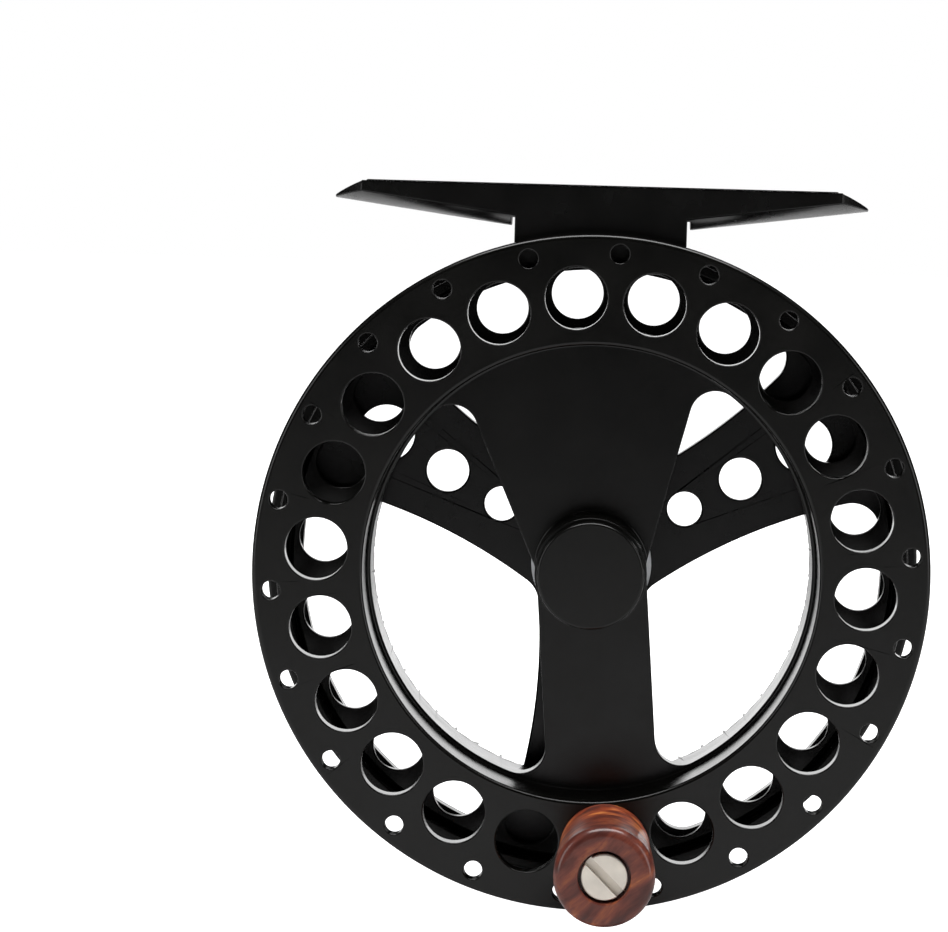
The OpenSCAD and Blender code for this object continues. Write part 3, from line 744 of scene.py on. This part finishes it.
# notches for the sleeve's two drive dogs
DOG_HALF = 1.3
for side in (1, -1):
    work(spool, block("notch", 0, side * 7.3, -DOG_HALF, DOG_HALF, -2, 0.25))
spool_black = anodised(
    "anodised_spool", (0.0014, 0.0014, 0.0012), (0.0027, 0.0026, 0.0021), 0.22
)
finish_surface(spool, spool_black)
seat(spool, LEAN)
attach(spool, "spool")
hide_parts("spool")

# ---- Hub cap ----
# Turned cap, black anodised: a plain disc in front, and a short plug behind it with a groove.
# The plug is pushed into the hub's bore, and the rubber ring in its groove holds it there.
CAP, CAP_TOP, CAP_PLUG, CAP_GROOVE, CAP_POCKET = 6.6, 15.1, 5.63, 4.95, 4.38
dress("cap_ring", nitrile)
hub_cap = turned(
    "hub_cap",
    eased(
        [
            (0, HUB_FRONT, 0),
            (CAP_POCKET, HUB_FRONT, 0),
            (CAP_POCKET, 10.9, 0),
            (CAP_PLUG, 10.9, 0.15),
            (CAP_PLUG, 11.2, 0),
            (CAP_GROOVE, 11.2, 0),
            (CAP_GROOVE, 11.9, 0),
            (CAP_PLUG, 11.9, 0),
            (CAP_PLUG, HUB_FRONT, 0),
            (CAP, HUB_FRONT, 0.2),
            (CAP, CAP_TOP, 0.3),
            (0, CAP_TOP, 0),
        ],
        5,
    ),
    192,
)
cap_black = anodised(
    "anodised_cap", (0.002, 0.002, 0.0018), (0.0034, 0.0033, 0.0028), 0.22
)
finish_surface(hub_cap, cap_black)
seat(hub_cap, LEAN)
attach(hub_cap, "spool")
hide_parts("hub_cap")

# ---- Handle ----
# Knob turned from oiled rosewood, a little slimmer at the flange than at its rounded end. It runs
# on a steel sleeve, which a slotted shoulder screw holds to the flange. The head of the screw is
# sunk in the end of the knob.
HANDLE_BASE, HANDLE_END, HEAD_TOP, SINK_FLOOR = 12.3, 36.7, 36.4, 34.6
SLIM, FULL, FOOT_EASE, END_EASE, KNOB_BORE, SINK = 5.6, 6.1, 0.4, 1.2, 2.25, 3.15
swell = [(KNOB_BORE, HANDLE_BASE), (5.2, HANDLE_BASE)]
for a in (30, 60, 90):
    a = math.radians(a)
    swell.append(
        (
            SLIM - FOOT_EASE * (1 - math.sin(a)),
            HANDLE_BASE + FOOT_EASE * (1 - math.cos(a)),
        )
    )
for i in range(1, 25):
    t = i / 24
    swell.append(
        (
            SLIM + 0.5 * (1 - math.cos(math.pi * t)) / 2,
            HANDLE_BASE + FOOT_EASE + 22.8 * t,
        )
    )
for a in range(10, 91, 10):
    a = math.radians(a)
    swell.append(
        (
            FULL - END_EASE * (1 - math.cos(a)),
            HANDLE_END - END_EASE * (1 - math.sin(a)),
        )
    )
swell += [
    (3.35, HANDLE_END),
    (3.2, HANDLE_END - 0.06),
    (SINK, HANDLE_END - 0.2),
    (SINK, SINK_FLOOR),
    (KNOB_BORE, SINK_FLOOR),
]
handle_knob = turned("handle_knob", swell, 128)


def rosewood(name):
    """Figured red-brown wood: dark growth lines, orange streaks, fine pores, an oiled shine. The
    streaks are the wood's figure, but they are laid on more strongly from the end towards the
    flange as painted light, standing in for light from above on the knob's side.
    """
    material = bpy.data.materials.new(name)
    material.use_nodes = True
    tree = material.node_tree
    link = tree.links.new
    shader = tree.nodes["Principled BSDF"]
    place_in = node_of(tree, "ShaderNodeTexCoord")
    bend = node_of(tree, "ShaderNodeTexNoise", Scale=120.0, Detail=2.0)
    link(place_in.outputs["Object"], bend.inputs["Vector"])
    pull = node_of(tree, "ShaderNodeVectorMath", operation="MULTIPLY_ADD")
    link(bend.outputs["Color"], pull.inputs[0])
    pull.inputs[1].default_value = (0.0022, 0.0022, 0.0022)
    link(place_in.outputs["Object"], pull.inputs[2])
    along = node_of(tree, "ShaderNodeMapping")
    along.vector_type = "TEXTURE"
    along.inputs["Rotation"].default_value = (0, math.radians(-40), math.radians(14))
    along.inputs["Scale"].default_value = (0.012, 0.0018, 0.0018)
    link(pull.outputs["Vector"], along.inputs["Vector"])
    figure = node_of(tree, "ShaderNodeTexNoise", Scale=1.0, Detail=5.0, Roughness=0.62)
    link(along.outputs["Vector"], figure.inputs["Vector"])
    tone = ramp(
        tree,
        (0.28, (0.035, 0.007, 0.005)),
        (0.42, (0.08, 0.018, 0.012)),
        (0.55, (0.14, 0.033, 0.02)),
        (0.64, (0.24, 0.065, 0.025)),
        (0.76, (0.42, 0.15, 0.05)),
    )
    link(figure.outputs["Fac"], tone.inputs["Fac"])
    split = node_of(tree, "ShaderNodeSeparateXYZ")
    link(place_in.outputs["Object"], split.inputs["Vector"])
    # painted light: the orange streaks grow from nothing at the knob's end to strong near the
    # flange, to brighten the side of the knob as if lit from above
    painted_light_toward_flange = node_of(
        tree,
        "ShaderNodeMapRange",
        **{"From Min": -0.034, "From Max": -0.018, "To Min": 0.0, "To Max": 0.9},
    )
    link(split.outputs["Y"], painted_light_toward_flange.inputs["Value"])
    amber = node_of(tree, "ShaderNodeMix", data_type="RGBA", blend_type="ADD")
    link(painted_light_toward_flange.outputs["Result"], amber.inputs[0])
    link(tone.outputs["Color"], amber.inputs[6])
    flame = ramp(
        tree,
        (0.4, (0.0, 0.0, 0.0)),
        (0.52, (0.2, 0.03, 0.006)),
        (0.7, (0.6, 0.22, 0.05)),
    )
    patch = node_of(tree, "ShaderNodeTexNoise", Scale=260.0, Detail=3.0)
    link(pull.outputs["Vector"], patch.inputs["Vector"])
    link(patch.outputs["Fac"], flame.inputs["Fac"])
    link(flame.outputs["Color"], amber.inputs[7])
    link(amber.outputs[2], shader.inputs["Base Color"])
    shader.inputs["Roughness"].default_value = 0.55
    shader.inputs["Specular IOR Level"].default_value = 0.12
    shader.inputs["Coat Weight"].default_value = 0.6
    shader.inputs["Coat Roughness"].default_value = 0.2
    pores = node_of(tree, "ShaderNodeTexNoise", Scale=3.0, Detail=2.0)
    link(along.outputs["Vector"], pores.inputs["Vector"])
    bump = node_of(tree, "ShaderNodeBump", Strength=0.12, Distance=0.00005)
    link(pores.outputs["Fac"], bump.inputs["Height"])
    link(bump.outputs["Normal"], shader.inputs["Normal"])
    return material


HANDLE_SPOT = Matrix.Translation((0, -HOLE_RING, 0))
place(handle_knob, HANDLE_SPOT)
finish_surface(handle_knob, rosewood("oiled_rosewood"))
seat(handle_knob, LEAN)
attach(handle_knob, "handle")
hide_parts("handle_knob")

SHANK, SHANK_END, HEAD, HEAD_FLOOR = 1.5, 9.4, 2.8, 34.9
handle_screw = turned(
    "handle_screw",
    eased(
        [
            (0, SHANK_END, 0),
            (SHANK, SHANK_END, 0.2),
            (SHANK, HEAD_FLOOR, 0),
            (HEAD, HEAD_FLOOR, 0.15),
            (HEAD, HEAD_TOP, 0.22),
            (0, HEAD_TOP, 0),
        ],
        4,
    ),
    96,
)
SLOT_HALF, SLOT_DEPTH, SLOT_ANGLE = 0.55, 1.1, 131
slot = block("slot", -4, 4, -SLOT_HALF, SLOT_HALF, HEAD_TOP - SLOT_DEPTH, 38)
work(handle_screw, turn(slot, SLOT_ANGLE))
break_edges(handle_screw, 0.06, 2, 50, lambda middle: middle.z > HEAD_TOP - 0.3)
place(handle_screw, HANDLE_SPOT)
screw_steel = machined(
    "satin_stainless",
    (0.76, 0.7, 0.62),
    0.42,
    0.6,
    centre=(0.00274, 0, -0.07995),
)
finish_surface(handle_screw, screw_steel)
seat(handle_screw, LEAN)
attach(handle_screw, "spool")
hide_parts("handle_screw")
dress("handle_sleeve", stainless)

# ---- Drag knob ----
# Fluted knob on the back of the frame, black anodised, with a threaded brass insert, a stack of
# cupped spring washers under it and a round cap let into its rear face.
dress("spring_washers", ground_steel)
dress("knob_insert", machined("machined_brass", (0.72, 0.5, 0.2), 0.3))
KNOB_REAR, KNOB_FRONT, CAP_SEAT, WASHER_SEAT = -19.4, -13.6, -18.3, -15.78
KNOB, INSERT, CAP_WELL, WASHER_WELL, FLUTES = 7.8, 3.62, 4.22, 5.2, 14
drag_knob = turned(
    "drag_knob",
    eased(
        [
            (INSERT, CAP_SEAT, 0),
            (CAP_WELL, CAP_SEAT, 0),
            (CAP_WELL, KNOB_REAR, 0.15),
            (KNOB, KNOB_REAR, 0.6),
            (KNOB, KNOB_FRONT, 0.4),
            (WASHER_WELL, KNOB_FRONT, 0.2),
            (WASHER_WELL, WASHER_SEAT, 0),
            (INSERT, WASHER_SEAT, 0),
        ],
        4,
    ),
    168,
)
flutes = round_the_axis(pin(1.0, 8.3, 0, -21, -14.8, 28), FLUTES, 360 / FLUTES)
work(drag_knob, flutes)
break_edges(drag_knob, 0.15, 3, 35, lambda middle: middle.xy.length > 6.9)
finish_surface(drag_knob, cap_black)
seat(drag_knob)
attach(drag_knob, "drag_knob")
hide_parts("drag_knob")
knob_cap = turned(
    "knob_cap",
    eased([(0, -19.2, 0), (4.2, -19.2, 0.25), (4.2, -18.4, 0.1), (0, -18.4, 0)], 4),
    128,
)
finish_surface(knob_cap, spool_black)
seat(knob_cap)
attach(knob_cap, "drag_knob")
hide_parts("knob_cap")

# ---- Studio ----
# Plain pale floor under the reel, a bright sheet behind it, a broad soft key overhead and a
# weak fill at each side, with the camera looking at the handle side from a little above the hub.
floor_material = bpy.data.materials.new("floor")
floor_material.use_nodes = True
tree = floor_material.node_tree
shader = tree.nodes["Principled BSDF"]
shader.inputs["Base Color"].default_value = (0.7, 0.7, 0.7, 1)
shader.inputs["Roughness"].default_value = 0.8
shader.inputs["Specular IOR Level"].default_value = 0.0
seen = tree.nodes.new("ShaderNodeLightPath")
glow = tree.nodes.new("ShaderNodeEmission")
glow.inputs["Strength"].default_value = 1.3
black = tree.nodes.new("ShaderNodeEmission")
black.inputs["Strength"].default_value = 0.0
pick = tree.nodes.new("ShaderNodeMixShader")
tree.links.new(seen.outputs["Is Camera Ray"], pick.inputs[0])
tree.links.new(black.outputs[0], pick.inputs[1])
tree.links.new(glow.outputs[0], pick.inputs[2])
both = tree.nodes.new("ShaderNodeAddShader")
tree.links.new(shader.outputs[0], both.inputs[0])
tree.links.new(pick.outputs[0], both.inputs[1])
tree.links.new(both.outputs[0], tree.nodes["Material Output"].inputs["Surface"])
let_go()
bpy.ops.mesh.primitive_plane_add(size=6, location=(0, 0, -0.0884))
floor = bpy.context.object
floor.name = "floor"
floor.data.materials.append(floor_material)

world = bpy.data.worlds.new("studio")
world.use_nodes = True
bpy.context.scene.world = world
tree = world.node_tree
room = tree.nodes["Background"]
room.inputs["Color"].default_value = (1, 1, 1, 1)
seen = tree.nodes.new("ShaderNodeLightPath")
level = tree.nodes.new("ShaderNodeMapRange")
level.inputs["To Min"].default_value = 0.025
level.inputs["To Max"].default_value = 1.0
tree.links.new(seen.outputs["Is Camera Ray"], level.inputs["Value"])
tree.links.new(level.outputs["Result"], room.inputs["Strength"])


def soft_light(name, spot, aim, width, height, power):
    data = bpy.data.lights.new(name, "AREA")
    data.shape, data.size, data.size_y, data.energy = "RECTANGLE", width, height, power
    lamp = bpy.data.objects.new(name, data)
    bpy.context.scene.collection.objects.link(lamp)
    lamp.location = spot
    lamp.rotation_mode = "QUATERNION"
    lamp.rotation_quaternion = (Vector(aim) - Vector(spot)).to_track_quat("-Z", "Y")
    lamp.visible_camera = False


MIDDLE = (0, 0, -0.045)
soft_light("sheet_behind", (0, 0.62, -0.04), MIDDLE, 0.5, 0.5, 1.35)
soft_light("key", (0.02, -0.14, 0.7), MIDDLE, 0.7, 0.35, 9)
soft_light("left_fill", (-0.6, -0.35, 0.12), MIDDLE, 0.25, 0.5, 1.6)
soft_light("right_fill", (0.6, -0.35, 0.12), MIDDLE, 0.25, 0.5, 1.6)

eye = Vector((0.00165, -0.62222, 0.00822))
aim = Vector((-0.014776, -0.01222, -0.032912))
lens = bpy.data.cameras.new("camera")
lens.lens, lens.sensor_width = 188.11, 36
lens.clip_start, lens.clip_end = 0.01, 20
camera = bpy.data.objects.new("camera", lens)
bpy.context.scene.collection.objects.link(camera)
ROLL = 1.5815
camera.matrix_world = (
    Matrix.Translation(eye)
    @ (aim - eye).to_track_quat("-Z", "Y").to_matrix().to_4x4()
    @ Matrix.Rotation(math.radians(ROLL), 4, "Z")
)
bpy.context.scene.camera = camera
bpy.context.scene.view_settings.view_transform = "Standard"
